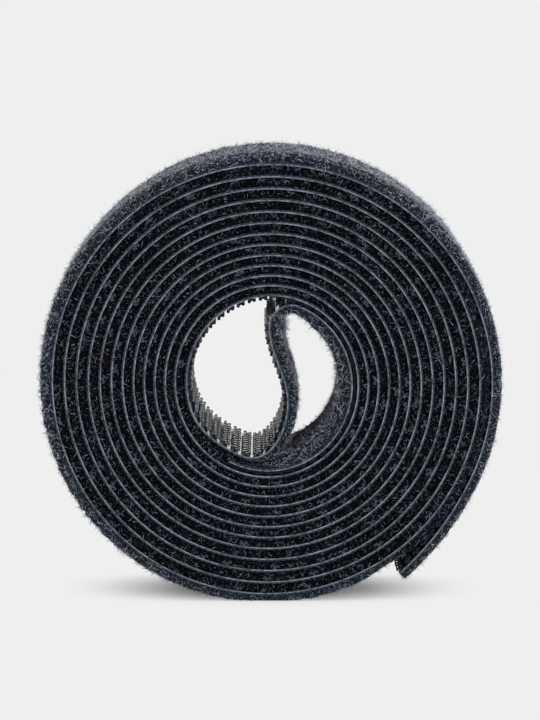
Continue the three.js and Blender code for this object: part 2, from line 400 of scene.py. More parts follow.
def grown(name, mesh, tree, **sizes):
    """A plain mesh object made from a mesh by a node tree, with the tree's inputs set first"""
    piece = bpy.data.objects.new(name, mesh)
    bpy.context.scene.collection.objects.link(piece)
    modifier = piece.modifiers.new("made", "NODES")
    modifier.node_group = tree
    for item in tree.interface.items_tree:
        if item.in_out == "INPUT" and item.name in sizes:
            modifier[item.identifier] = sizes[item.name]
    made = bpy.data.meshes.new_from_object(piece.evaluated_get(bpy.context.evaluated_depsgraph_get()))
    piece.modifiers.remove(modifier)
    piece.data = made
    made.name = name
    made.materials.clear()
    made.materials.append(sizes["Finish"])
    # What would reach below the surface that the roll stands on is pressed flat there.
    points = np.empty(3 * len(made.vertices), np.float32)
    made.vertices.foreach_get("co", points)
    points[2::3] = np.maximum(points[2::3], FOOT_CLEAR * MM)
    made.vertices.foreach_set("co", points)
    made.update()
    return piece


def marked_points(name, points, **marks):
    """A mesh of bare points with a named number or vector on each"""
    mesh = bpy.data.meshes.new(name)
    mesh.from_pydata(points.tolist(), [], [])
    for key, values in marks.items():
        kind, field = ("FLOAT_VECTOR", "vector") if values.ndim == 2 else ("FLOAT", "value")
        mark = mesh.attributes.new(key, kind, "POINT")
        mark.data.foreach_set(field, values.astype(np.float32).ravel())
    return mesh


# Materials

def new_material(name):
    material = bpy.data.materials.new(name)
    material.use_nodes = True
    material.node_tree.nodes.clear()
    return material, material.node_tree


def film_material():
    # Extruded polypropylene film: satin black faces with fine draw lines, and grey slit edges broken into
    # lighter and darker lengths of painted light and shade
    material, tree = new_material("extruded_polypropylene_film")
    place = add(tree, "ShaderNodeAttribute", attribute_name="tape_place").outputs["Vector"]
    per_line = (1 / (DRAW_LENGTH * MM), 1 / (DRAW_WIDTH * MM), 1)
    stretched = add(tree, "ShaderNodeMapping", {"Vector": place, "Scale": per_line})
    lines = add(tree, "ShaderNodeTexNoise", {"Vector": stretched, "Scale": 1.0, "Detail": 3.0})
    here = add(tree, "ShaderNodeTexCoord").outputs["Object"]
    slit_light_patches = add(tree, "ShaderNodeTexNoise", {"Vector": here, "Scale": 1 / (SLIT_LIGHT_SIZE * MM), "Detail": 1.0})
    slit_light_and_lines = add(tree, "ShaderNodeMath", {0: lines, 1: slit_light_patches}, operation="ADD")
    lengths = add(tree, "ShaderNodeMapRange", {"Value": slit_light_and_lines, "From Min": 0.75, "From Max": 1.25})
    grey = {0: lengths, 6: linear("#2e343d"), 7: linear("#7e8793")}
    slit = add(tree, "ShaderNodeMix", grey, data_type="RGBA").outputs[2]
    black = {0: lines, 6: linear("#151b25"), 7: linear("#2a3342")}
    face = add(tree, "ShaderNodeMix", black, data_type="RGBA").outputs[2]
    edge = add(tree, "ShaderNodeAttribute", attribute_name="edge").outputs["Fac"]
    colour = add(tree, "ShaderNodeMix", {0: edge, 6: face, 7: slit}, data_type="RGBA").outputs[2]
    rough = add(tree, "ShaderNodeMapRange", {"Value": lines, "To Min": 0.08, "To Max": 0.2})
    bump = add(tree, "ShaderNodeBump", {"Height": lines, "Distance": 0.02 * MM, "Strength": 0.3})
    surface = {"Base Color": colour, "Roughness": rough, "Normal": bump}
    shader = add(tree, "ShaderNodeBsdfPrincipled", surface)
    add(tree, "ShaderNodeOutputMaterial", {"Surface": shader})
    return material


def hook_material(name, dark, light, roughness):
    material, tree = new_material(name)
    place = add(tree, "ShaderNodeTexCoord").outputs["Object"]
    patches = {"Vector": place, "Scale": 1 / (CLOUD_SIZE * MM), "Detail": 2.0}
    cloud = add(tree, "ShaderNodeTexNoise", patches)
    grey = {0: cloud, 6: linear(dark), 7: linear(light)}
    colour = add(tree, "ShaderNodeMix", grey, data_type="RGBA").outputs[2]
    bump = add(tree, "ShaderNodeBump", {"Height": cloud, "Distance": 0.01 * MM, "Strength": 0.4})
    surface = {
        "Base Color": colour,
        "Roughness": roughness,
        "Specular IOR Level": 0.2,
        "Specular Tint": linear("#bfd2f2"),
        "Normal": bump,
    }
    shader = add(tree, "ShaderNodeBsdfPrincipled", surface)
    add(tree, "ShaderNodeOutputMaterial", {"Surface": shader})
    return material


def bond_material():
    # Cured contact adhesive: a matt black seam between the two webs, a little uneven along its length
    material, tree = new_material("cured_contact_adhesive")
    place = add(tree, "ShaderNodeTexCoord").outputs["Object"]
    uneven = {"Vector": place, "Scale": 1 / (ADHESIVE_LUMP * MM), "Detail": 2.0}
    lumps = add(tree, "ShaderNodeTexNoise", uneven)
    black = {0: lumps, 6: linear("#1e242e"), 7: linear("#353e4b")}
    colour = add(tree, "ShaderNodeMix", black, data_type="RGBA").outputs[2]
    bump = add(tree, "ShaderNodeBump", {"Height": lumps, "Distance": 0.03 * MM, "Strength": 0.6})
    surface = {"Base Color": colour, "Roughness": 0.6, "Specular IOR Level": 0.2, "Normal": bump}
    shader = add(tree, "ShaderNodeBsdfPrincipled", surface)
    add(tree, "ShaderNodeOutputMaterial", {"Surface": shader})
    return material


def ground_material():
    # Warp knitted nylon ground: blue-black wales on the slant, seen only at the edges
    material, tree = new_material("warp_knitted_nylon_ground")
    place = add(tree, "ShaderNodeAttribute", attribute_name="tape_place").outputs["Vector"]
    knit = {"Vector": place, "Scale": WAVE_LENGTH / (WALE_SPACING * MM), "Distortion": 2.0, "Detail": 2.0}
    wales = add(tree, "ShaderNodeTexWave", knit, bands_direction="DIAGONAL")
    yarn = {0: wales.outputs["Fac"], 6: linear("#1b212b"), 7: linear("#3a4453")}
    colour = add(tree, "ShaderNodeMix", yarn, data_type="RGBA").outputs[2]
    raised = {"Height": wales.outputs["Fac"], "Distance": 0.05 * MM, "Strength": 0.6}
    bump = add(tree, "ShaderNodeBump", raised)
    surface = {"Base Color": colour, "Roughness": 0.8, "Specular IOR Level": 0.15, "Normal": bump}
    shader = add(tree, "ShaderNodeBsdfPrincipled", surface)
    add(tree, "ShaderNodeOutputMaterial", {"Surface": shader})
    return material


def pile_material(name, dark, light):
    material, tree = new_material(name)
    place = add(tree, "ShaderNodeTexCoord").outputs["Object"]
    knots = {"Vector": place, "Scale": 1 / (TANGLE_SIZE * MM), "Detail": 6.0}
    tangle = add(tree, "ShaderNodeTexNoise", knots)
    # Painted shade: the low places of the tangle's bump are darker
    painted_hollow_shade = add(tree, "ShaderNodeMapRange", {"Value": tangle, "From Min": 0.4, "From Max": 0.75})
    black = {0: painted_hollow_shade, 6: linear(dark), 7: linear(light)}
    colour = add(tree, "ShaderNodeMix", black, data_type="RGBA").outputs[2]
    bump = add(tree, "ShaderNodeBump", {"Height": tangle, "Distance": 0.2 * MM, "Strength": 0.6})
    surface = {"Base Color": colour, "Roughness": 0.9, "Specular IOR Level": 0.05, "Normal": bump}
    shader = add(tree, "ShaderNodeBsdfPrincipled", surface)
    add(tree, "ShaderNodeOutputMaterial", {"Surface": shader})
    return material


def fibre_material(name, root, tip, glint, rarity, shaded):
    # More rarity makes fewer painted glints. Each loop runs from painted shade at its root to its lit tip
    # colour, and loops at the pile's foot keep only the shaded share of that, as painted shade.
    material, tree = new_material(name)
    along = add(tree, "ShaderNodeAttribute", attribute_name="tip").outputs["Fac"]
    shade = add(tree, "ShaderNodeAttribute", attribute_name="shade").outputs["Fac"]
    level = add(tree, "ShaderNodeAttribute", attribute_name="level").outputs["Fac"]
    # Painted glints: the lightest loops turn near white
    glint_share = add(tree, "ShaderNodeMath", {0: shade, 1: rarity}, operation="POWER")
    glinted = {0: glint_share, 6: linear(tip), 7: linear(glint)}
    lit = add(tree, "ShaderNodeMix", glinted, data_type="RGBA").outputs[2]
    # Painted shade towards the root and low on the pile's edge
    light_at_level = add(tree, "ShaderNodeMapRange", {"Value": level, "To Min": shaded})
    outer = add(tree, "ShaderNodeMath", {0: along, 1: light_at_level}, operation="MULTIPLY")
    colour = add(tree, "ShaderNodeMix", {0: outer, 6: linear(root), 7: lit}, data_type="RGBA").outputs[2]
    surface = {
        "Base Color": colour,
        "Roughness": 0.5,
        "Specular IOR Level": 0.3,
        "Sheen Weight": 0.2,
        "Sheen Roughness": 0.4,
    }
    shader = add(tree, "ShaderNodeBsdfPrincipled", surface)
    add(tree, "ShaderNodeOutputMaterial", {"Surface": shader})
    return material


film_finish = film_material()
bond_finish = bond_material()
ground_finish = ground_material()
# Matted nylon pile: the tangle under the loose loops, with painted shade making it blue-black in the
# hollows of its bumps
pile_finish = pile_material("matted_nylon_pile", "#10141b", "#323a48")
# Nylon pile under the free end: the tangle pressed down by its hooks, given painted shade that makes it
# darker than the open pile
under_end_shade_finish = pile_material("nylon_pile_in_painted_shade_under_end", "#05070b", "#171c25")
# Pressed nylon pile: the tangle between the turns, painted near black as the shade where no light reaches
between_turns_shade_finish = pile_material("pressed_nylon_pile_in_painted_shade", "#010203", "#0b0e13")
# Moulded polypropylene hooks: near black and glossy, so their curved arms catch small white lights
hook_finish = hook_material("moulded_polypropylene_hooks", "#080a0e", "#13171e", 0.08)
# Rubbed polypropylene hooks: the same hooks where they have been pressed on others, with their gloss gone
rubbed_finish = hook_material("rubbed_polypropylene_hooks", "#171c23", "#2f3640", 0.6)
# Slit polypropylene: the hooks cut through at the tape's edges, paler and matt like the film's own edge
slit_finish = hook_material("slit_polypropylene_hooks", "#31373f", "#495059", 0.5)
# Brushed nylon loops: painted shade makes them blue-black at the root, and their blue-grey tips and rare
# near-white flecks are painted light and painted glints
brushed_finish = fibre_material("brushed_nylon_loops", "#10151d", "#7a869d", "#f2f6ff", 1.4, 0.8)
# Nylon loops in painted shade: the tangle between the turns and under the free end, painted dark for the
# shade there, with a few near-white painted glints
shaded_loop_finish = fibre_material("nylon_loops_in_painted_shade", "#03050a", "#182231", "#d8e7ff", 4.5, 1.0)


# Webs: a closed band that follows the line of the tape

def web_tree():
    sizes = {
        "Stations": int,
        "Threads": int,
        "Width": float,
        "Floor": float,
        "Lump height": float,
        "Edge drop": float,
        "Finish": "material",
    }
    tree, size = new_tree("tape_web", sizes)
    shape = {"Size X": 1.0, "Size Y": 1.0, "Vertices X": size["Stations"], "Vertices Y": size["Threads"]}
    grid = add(tree, "GeometryNodeMeshGrid", shape)
    here = add(tree, "GeometryNodeInputPosition")
    share = add(tree, "ShaderNodeSeparateXYZ", {0: here}).outputs[1]
    index = add(tree, "GeometryNodeInputIndex")
    station = add(tree, "FunctionNodeIntegerMath", {0: index, 1: size["Threads"]}, operation="DIVIDE_FLOOR")

    line = {}
    for name, kind in (("facing", "FLOAT_VECTOR"), ("rise", "FLOAT"), ("run", "FLOAT")):
        mark = add(tree, "GeometryNodeInputNamedAttribute", {"Name": name}, data_type=kind)
        at = {"Geometry": size["Mesh"], "Value": mark, "Index": station}
        line[name] = add(tree, "GeometryNodeSampleIndex", at, data_type=kind)
    at = {"Geometry": size["Mesh"], "Value": here, "Index": station}
    middle = add(tree, "GeometryNodeSampleIndex", at, data_type="FLOAT_VECTOR")

    drift = {"W": line["run"], "Scale": 1 / (WANDER_LENGTH * MM)}
    noise = add(tree, "ShaderNodeTexNoise", drift, noise_dimensions="1D")
    aside = {"Value": noise, "To Min": -WANDER / 2 * MM, "To Max": WANDER / 2 * MM}
    wander = add(tree, "ShaderNodeMapRange", aside)
    spread = {0: share, 1: size["Width"], 2: wander}
    across = add(tree, "ShaderNodeMath", spread, operation="MULTIPLY_ADD")
    sideways = add(tree, "ShaderNodeCombineXYZ", {"Y": across})
    base = add(tree, "ShaderNodeVectorMath", {0: middle, 1: sideways}, operation="ADD")
    offset = {0: line["facing"], 1: size["Floor"], 2: base}
    low = add(tree, "ShaderNodeVectorMath", offset, operation="MULTIPLY_ADD")

    to_edge = add(tree, "ShaderNodeMath", {0: share}, operation="ABSOLUTE")
    rounding = {"Value": to_edge, "From Min": ROUND_FROM, "From Max": 0.5, "To Max": size["Edge drop"]}
    drop = add(tree, "ShaderNodeMapRange", rounding, interpolation_type="SMOOTHSTEP")
    height = add(tree, "ShaderNodeMath", {0: line["rise"], 1: drop}, operation="SUBTRACT")
    lift = add(tree, "ShaderNodeVectorMath", {0: line["facing"], "Scale": height}, operation="SCALE")
    place = add(tree, "ShaderNodeCombineXYZ", {"X": line["run"], "Y": across})
    flat = grid
    for name, kind, value in (
        ("lift", "FLOAT_VECTOR", lift),
        ("outward", "FLOAT_VECTOR", line["facing"]),
        ("stand", "FLOAT", line["rise"]),
        ("tape_place", "FLOAT_VECTOR", place),
    ):
        store = {"Geometry": flat, "Name": name, "Value": value}
        flat = add(tree, "GeometryNodeStoreNamedAttribute", store, data_type=kind, domain="POINT")

    under = add(tree, "GeometryNodeSetPosition", {"Geometry": flat, "Position": low})
    raised = add(tree, "GeometryNodeExtrudeMesh", {"Mesh": under, "Offset Scale": 0.0, "Individual": False})
    cloud = {"Vector": here, "Scale": 1 / (LUMP_SIZE * MM), "Detail": 2.0}
    noise = add(tree, "ShaderNodeTexNoise", cloud)
    centred = add(tree, "ShaderNodeMath", {0: noise, 1: 0.5}, operation="SUBTRACT")
    lump = add(tree, "ShaderNodeMath", {0: centred, 1: size["Lump height"]}, operation="MULTIPLY")
    lift = add(tree, "GeometryNodeInputNamedAttribute", {"Name": "lift"}, data_type="FLOAT_VECTOR")
    outward = add(tree, "GeometryNodeInputNamedAttribute", {"Name": "outward"}, data_type="FLOAT_VECTOR")
    crown = add(tree, "ShaderNodeVectorMath", {0: outward, 1: lump, 2: lift}, operation="MULTIPLY_ADD")
    move = {"Geometry": raised, "Selection": raised.outputs["Top"], "Offset": crown}
    crowned = add(tree, "GeometryNodeSetPosition", move)
    # level, one on the crown and zero at the floor, lets the loops' material paint shade low on the pile's
    # edges
    for name, part, domain in (
        ("crown", "Top", "FACE"),
        ("edge", "Side", "FACE"),
        ("level", "Top", "POINT"),
    ):
        store = {"Geometry": crowned, "Name": name, "Value": raised.outputs[part]}
        crowned = add(tree, "GeometryNodeStoreNamedAttribute", store, data_type="FLOAT", domain=domain)
    floor = add(tree, "GeometryNodeFlipFaces", {"Mesh": under})
    closed = add(tree, "GeometryNodeJoinGeometry", {"Geometry": [floor, crowned]})
    welded = add(tree, "GeometryNodeMergeByDistance", {"Geometry": closed, "Distance": WELD * MM})
    angle = add(tree, "GeometryNodeInputMeshEdgeAngle")
    sharp = add(tree, "ShaderNodeMath", {0: angle, 1: math.radians(CREASE)}, operation="GREATER_THAN")
    rounded = add(tree, "GeometryNodeSetShadeSmooth", {"Geometry": welded, "Shade Smooth": True})
    crease = {"Geometry": rounded, "Selection": sharp, "Shade Smooth": False}
    creased = add(tree, "GeometryNodeSetShadeSmooth", crease, domain="EDGE")
    finish(tree, creased, size["Finish"])
    return tree


# Hooks: a row of slices across the tape at each seat

def hook_tree():
    sizes = {
        "Hook": "object",
        "Slices": int,
        "Slice pitch": float,
        "Draw back": float,
        "Height": float,
        "Sway": float,
        "Seed": int,
        "Finish": "material",
    }
    tree, size = new_tree("hook_rows", sizes)
    points = add(tree, "GeometryNodeMeshToPoints", {"Mesh": size["Mesh"]})
    lanes = {"Geometry": points, "Amount": size["Slices"]}
    rows = add(tree, "GeometryNodeDuplicateElements", lanes, domain="POINT")
    gaps = add(tree, "ShaderNodeMath", {0: size["Slices"], 1: 1.0}, operation="SUBTRACT")
    middle = add(tree, "ShaderNodeMath", {0: gaps, 1: 0.5}, operation="MULTIPLY")
    lane = {0: rows.outputs["Duplicate Index"], 1: middle}
    lane = add(tree, "ShaderNodeMath", lane, operation="SUBTRACT")
    depth = add(tree, "ShaderNodeMath", {0: lane, 1: size["Slice pitch"]}, operation="MULTIPLY")
    from_edge = {2: 0.0, 3: size["Draw back"], "Seed": size["Seed"]}
    from_edge = add(tree, "FunctionNodeRandomValue", from_edge, data_type="FLOAT").outputs[1]
    kept = add(tree, "ShaderNodeMath", {0: 1.0, 1: from_edge}, operation="SUBTRACT")
    depth = add(tree, "ShaderNodeMath", {0: depth, 1: kept}, operation="MULTIPLY")
    sideways = add(tree, "ShaderNodeCombineXYZ", {"Y": depth})
    seats = add(tree, "GeometryNodeSetPosition", {"Geometry": rows, "Offset": sideways})

    rise = add(tree, "GeometryNodeInputNamedAttribute", {"Name": "rise"}, data_type="FLOAT_VECTOR")
    along = add(tree, "GeometryNodeInputNamedAttribute", {"Name": "along"}, data_type="FLOAT_VECTOR")
    axes = {"primary_axis": "Z", "secondary_axis": "X"}
    stand = add(tree, "FunctionNodeAxesToRotation", {0: rise, 1: along}, **axes)
    either_way = {0: (-1.0, -1.0, -1.0), 1: (1.0, 1.0, 1.0), "Seed": size["Seed"]}
    sway = add(tree, "FunctionNodeRandomValue", either_way, data_type="FLOAT_VECTOR")
    leaned = add(tree, "ShaderNodeVectorMath", {0: sway, "Scale": size["Sway"]}, operation="SCALE")
    tilt = add(tree, "FunctionNodeEulerToRotation", {0: leaned})
    turned = add(tree, "FunctionNodeRotateRotation", {0: stand, 1: tilt}, rotation_space="LOCAL")
    hook = add(tree, "GeometryNodeObjectInfo", {"Object": size["Hook"]}).outputs["Geometry"]
    about_one = {0: HOOK_LEAST, 1: HOOK_MOST, "Seed": size["Seed"]}
    stretch = add(tree, "FunctionNodeRandomValue", about_one, data_type="FLOAT_VECTOR")
    squash = add(tree, "ShaderNodeCombineXYZ", {"X": 1.0, "Y": 1.0, "Z": size["Height"]})
    scale = add(tree, "ShaderNodeVectorMath", {0: stretch, 1: squash}, operation="MULTIPLY")
    seat = {"Points": seats, "Instance": hook, "Rotation": turned, "Scale": scale}
    standing = add(tree, "GeometryNodeInstanceOnPoints", seat)
    finish(tree, standing, size["Finish"])
    return tree


# Fibres: loose loops of the pile, each a fine bent tube whose length is a share of the pile's height

def fibre_tree():
    sizes = {
        "Crown density": float,
        "Edge density": float,
        "Shortest": float,
        "Longest": float,
        "Splay": float,
        "Tuft": float,
        "Curl": float,
        "Droop": float,
        "Thickness": float,
        "Joints": int,
        "Seed": int,
        "Finish": "material",
    }
    tree, size = new_tree("pile_fibres", sizes)
    mark = {}
    for name in ("crown", "edge", "stand", "tip"):
        mark[name] = add(tree, "GeometryNodeInputNamedAttribute", {"Name": name}, data_type="FLOAT")
    for name in ("outward", "way", "bend"):
        mark[name] = add(tree, "GeometryNodeInputNamedAttribute", {"Name": name}, data_type="FLOAT_VECTOR")
    here = add(tree, "GeometryNodeInputPosition")

    # Roots, in clumps with barer places between them
    crown = add(tree, "ShaderNodeMath", {0: mark["crown"], 1: size["Crown density"]}, operation="MULTIPLY")
    every = {0: mark["edge"], 1: size["Edge density"], 2: crown}
    even = add(tree, "ShaderNodeMath", every, operation="MULTIPLY_ADD")
    spots = {"Vector": here, "Scale": 1 / (CLUMP_SIZE * MM), "Detail": 1.0}
    clumps = add(tree, "ShaderNodeTexNoise", spots)
    thick = {"Value": clumps, "From Min": CLUMP_FROM, "From Max": CLUMP_TO, "To Min": BARE, "To Max": FULL}
    clumped = add(tree, "ShaderNodeMapRange", thick)
    density = add(tree, "ShaderNodeMath", {0: even, 1: clumped}, operation="MULTIPLY")
    planted = {"Mesh": size["Mesh"], "Density": density, "Seed": size["Seed"]}
    roots = add(tree, "GeometryNodeDistributePointsOnFaces", planted)

    # Ways in which the fibres start and bend, alike within a tuft
    out = {0: roots.outputs["Normal"], 1: 3 * (FACE_SHARE,), 2: mark["outward"]}
    out = add(tree, "ShaderNodeVectorMath", out, operation="MULTIPLY_ADD")
    out = add(tree, "ShaderNodeVectorMath", {0: out}, operation="NORMALIZE")
    either_way = {0: (-1.0, -1.0, -1.0), 1: (1.0, 1.0, 1.0)}
    stray = add(tree, "FunctionNodeRandomValue", {**either_way, "Seed": 1}, data_type="FLOAT_VECTOR")
    twist = add(tree, "FunctionNodeRandomValue", {**either_way, "Seed": 2}, data_type="FLOAT_VECTOR")
    between = {2: size["Shortest"], 3: size["Longest"], "Seed": 3}
    length = add(tree, "FunctionNodeRandomValue", between, data_type="FLOAT").outputs[1]
    # Lightness: a loop's own random tone plus painted light from its clump
    apart = {2: 0.0, 3: OWN_SHADE, "Seed": 4}
    own = add(tree, "FunctionNodeRandomValue", apart, data_type="FLOAT").outputs[1]
    alike = {"Value": clumps, "From Min": SHADE_FROM, "From Max": SHADE_TO, "To Max": CLUMP_PAINTED_LIGHT}
    painted_clump_light = add(tree, "ShaderNodeMapRange", alike)
    shade = add(tree, "ShaderNodeMath", {0: own, 1: painted_clump_light}, operation="ADD")
    length = add(tree, "ShaderNodeMath", {0: length, 1: mark["stand"]}, operation="MULTIPLY")
    length = add(tree, "ShaderNodeMath", {0: length, 1: clumped}, operation="MULTIPLY")
    whorls = {"Vector": here, "Scale": 1 / (TUFT_SIZE * MM), "Detail": 1.0}
    eddies = add(tree, "ShaderNodeTexNoise", whorls)
    eddy = {0: eddies.outputs["Color"], 1: (0.5, 0.5, 0.5)}
    eddy = add(tree, "ShaderNodeVectorMath", eddy, operation="SUBTRACT")
    tuft = add(tree, "ShaderNodeVectorMath", {0: eddy, "Scale": size["Tuft"]}, operation="SCALE")
    way = {0: stray, 1: size["Splay"], 2: out}
    way = add(tree, "ShaderNodeVectorMath", way, operation="MULTIPLY_ADD")
    way = add(tree, "ShaderNodeVectorMath", {0: way}, operation="NORMALIZE")
    bend = {0: twist, 1: size["Curl"], 2: tuft}
    bend = add(tree, "ShaderNodeVectorMath", bend, operation="MULTIPLY_ADD")
    sag = {2: SAG_LEAST, 3: SAG_MOST, "Seed": 5}
    sag = add(tree, "FunctionNodeRandomValue", sag, data_type="FLOAT").outputs[1]
    sag = add(tree, "ShaderNodeMath", {0: sag, 1: size["Droop"]}, operation="MULTIPLY")
    fall = add(tree, "ShaderNodeVectorMath", {0: out, "Scale": sag}, operation="SCALE")
    bend = add(tree, "ShaderNodeVectorMath", {0: bend, 1: fall}, operation="SUBTRACT")
    rooted = roots
    for name, value in (("way", way), ("bend", bend)):
        value = add(tree, "ShaderNodeVectorMath", {0: value, "Scale": length}, operation="SCALE")
        store = {"Geometry": rooted, "Name": name, "Value": value}
        rooted = add(
            tree, "GeometryNodeStoreNamedAttribute", store, data_type="FLOAT_VECTOR", domain="POINT"
        )
    store = {"Geometry": rooted, "Name": "shade", "Value": shade}
    rooted = add(tree, "GeometryNodeStoreNamedAttribute", store, data_type="FLOAT", domain="POINT")

    # Fibres: a short straight thread at each root, drawn out along its way
    seed_length = 0.001 * MM
    thread = add(tree, "GeometryNodeCurvePrimitiveLine", {"Start": (0, 0, 0), "End": (0, 0, seed_length)})
    jointed = add(tree, "GeometryNodeResampleCurve", {"Curve": thread, "Count": size["Joints"]})
    share = add(tree, "GeometryNodeSplineParameter")
    store = {"Geometry": jointed, "Name": "tip", "Value": share}
    tipped = add(tree, "GeometryNodeStoreNamedAttribute", store, data_type="FLOAT", domain="POINT")
    standing = add(tree, "GeometryNodeInstanceOnPoints", {"Points": rooted, "Instance": tipped})
    loose = add(tree, "GeometryNodeRealizeInstances", {"Geometry": standing})
    drawn = {0: mark["bend"], 1: mark["tip"], 2: mark["way"]}
    drawn = add(tree, "ShaderNodeVectorMath", drawn, operation="MULTIPLY_ADD")
    drawn = add(tree, "ShaderNodeVectorMath", {0: drawn, "Scale": mark["tip"]}, operation="SCALE")
    bent = add(tree, "GeometryNodeSetPosition", {"Geometry": loose, "Offset": drawn})
    taper = add(tree, "ShaderNodeMapRange", {"Value": mark["tip"], "To Min": 1.0, "To Max": TIP_TAPER})
    width = add(tree, "ShaderNodeMath", {0: taper, 1: size["Thickness"]}, operation="MULTIPLY")
    section = add(tree, "GeometryNodeCurvePrimitiveCircle", {"Resolution": FIBRE_SIDES, "Radius": 0.5})
    swept = {"Curve": bent, "Profile Curve": section, "Scale": width, "Fill Caps": True}
    tubes = add(tree, "GeometryNodeCurveToMesh", swept)
    smoothed = add(tree, "GeometryNodeSetShadeSmooth", {"Geometry": tubes, "Shade Smooth": True})
    finish(tree, smoothed, size["Finish"])
    return tree


web = web_tree()
hook_rows = hook_tree()
fibres = fibre_tree()


def hook_shape():
    """One slice of a double hook: a flared stem with two arms that curl over and down, standing on z = 0"""
    def arc(radius, first, last, steps):
        angles = np.radians(np.linspace(first, last, steps))
        return [
            (HOOK_ARM_REACH + radius * math.cos(a), HOOK_ARM_HEIGHT + radius * math.sin(a)) for a in angles
        ]

    half = [(HOOK_FOOT / 2, -HOOK_FILM / 2), (HOOK_STEM / 2, HOOK_STEM / 2)]
    half += arc(HOOK_ARM_INNER, HOOK_ROOT_ANGLE, HOOK_TIP_ANGLE, steps=5)
    half += arc(HOOK_ARM_OUTER, HOOK_TIP_ANGLE, HOOK_ROOT_ANGLE, steps=6)
    outline = half + [(-u, v) for u, v in reversed(half)]
    shape = bmesh.new()
    near = [shape.verts.new((u * MM, -SLICE_THICKNESS / 2 * MM, v * MM)) for u, v in outline]
    front = shape.faces.new(near)
    back = bmesh.ops.extrude_face_region(shape, geom=[front], use_keep_orig=True)
    moved = [item for item in back["geom"] if isinstance(item, bmesh.types.BMVert)]
    bmesh.ops.translate(shape, vec=(0, SLICE_THICKNESS * MM, 0), verts=moved)
    bmesh.ops.recalc_face_normals(shape, faces=shape.faces)
    bmesh.ops.triangulate(shape, faces=[face for face in shape.faces if len(face.verts) > 4])
    mesh = bpy.data.meshes.new("double_hook")
    shape.to_mesh(mesh)
    shape.free()
    hook = bpy.data.objects.new("double_hook", mesh)
    bpy.context.scene.collection.objects.link(hook)
    return hook


double_hook = hook_shape()


def band(name, line, floor, rise, width, material, threads=2, lump_height=0.0, edge_drop=0.0):
    """One web of the tape along a line, from its floor up by its rise, which may vary along the line"""
    marks = {
        "facing": upright(line.facing),
        "rise": np.broadcast_to(rise, line.run.shape) * MM,
        "run": line.run * MM,
    }
    return grown(
        name,
        marked_points(name, placed(line.point), **marks),
        web,
        **{
            "Stations": len(line.run),
            "Threads": threads,
            "Width": width * MM,
            "Floor": floor * MM,
            "Lump height": lump_height * MM,
            "Edge drop": edge_drop * MM,
            "Finish": material,
        },
    )


def hooked(
    name,
    line,
    seed,
    every=HOOK_PITCH,
    slices=SLICES,
    pitch=SLICE_PITCH,
    height=1.0,
    sway=HOOK_SWAY,
    draw_back=0.0,
    material=hook_finish,
):
    """Rows of hooks on the film's side of a line, one row every so many millimetres"""
    runs = np.arange(math.ceil(line.run[0] / every), line.run[-1] / every) * every
    feet = line.side(-FILM_SHOWN)
    seats = np.stack([np.interp(runs, line.run, feet[:, k]) for k in (0, 1)], axis=1)
    along = np.stack([np.interp(runs, line.run, line.along[:, k]) for k in (0, 1)], axis=1)
    rise = np.stack([along[:, 1], -along[:, 0]], axis=1)
    marks = {"along": upright(along), "rise": upright(rise)}
    return grown(
        name,
        marked_points(name, placed(seats), **marks),
        hook_rows,
        **{
            "Hook": double_hook,
            "Slices": slices,
            "Slice pitch": pitch * MM,
            "Draw back": draw_back,
            "Height": height,
            "Sway": sway,
            "Seed": seed,
            "Finish": material,
        },
    )


def furred(name, pile, material, seed, crown, lengths, tuft, curl, droop, thickness, joints):
    """Loose fibres on a pile, of which the crown may have its own number to a square millimetre"""
    per_square_mm = 1 / (MM * MM)
    return grown(
        name,
        pile.data.copy(),
        fibres,
        **{
            "Crown density": crown * per_square_mm,
            "Edge density": EDGE_LOOPS * per_square_mm,
            "Shortest": lengths[0],
            "Longest": lengths[1],
            "Splay": SPLAY,
            "Tuft": tuft,
            "Curl": curl,
            "Droop": droop,
            "Thickness": thickness * MM,
            "Joints": joints,
            "Seed": seed,
            "Finish": material,
        },
    )


def fitted(piece, slot, body, *nodes):
    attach(piece, body)
    if nodes:
        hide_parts(*nodes)
    return piece


# Flat layers of the tape: where each starts from its line, how far it rises, its width and its finish
flat_layers = {
    "hook_web": (-FILM_SHOWN, FILM_SHOWN, TAPE_WIDTH, film_finish),
    "bond_film": (0, BOND_FILM, bond_width, bond_finish),
    "loop_web": (BOND_FILM, LOOP_GROUND, ground_width, ground_finish),
}

# Wound length
wound_line = whole_line.part(0, at_free)
wound_names = {
    "hook_web": "wound_hook_film",
    "bond_film": "wound_bond_seam",
    "loop_web": "wound_loop_ground",
}
for slot, name in wound_names.items():
    fitted(band(name, wound_line, *flat_layers[slot]), slot, "wound_roll", "wound_" + slot)


def room_outside(turns):
    """Height over the ground up to the next turn's film, or halfway to the crescent's end"""
    floor_radius = winding_radius(turns) + pile_floor
    to_film = winding_radius(turns + 1) - FILM_SHOWN - floor_radius
    to_crescent = (winding_radius(turns + 1) - hook_stack - pile_floor - floor_radius) / 2
    return np.where(turns + 1 < crescent_end, to_crescent, to_film)


def room_inside(line):
    """Height over the ground up to halfway to another stretch of the line that it faces"""
    reach = line.point[None, :, :] - line.point[:, None, :]
    apart = np.linalg.norm(reach, axis=2)
    ahead = np.einsum("ijk,ik->ij", reach, line.facing) > 0
    same_stretch = 4 * LOOP_FREE + BEND_DROP
    other = np.abs(line.run[None, :] - line.run[:, None]) > same_stretch
    return np.min(np.where(ahead & other, apart, np.inf), axis=1) / 2 - pile_floor


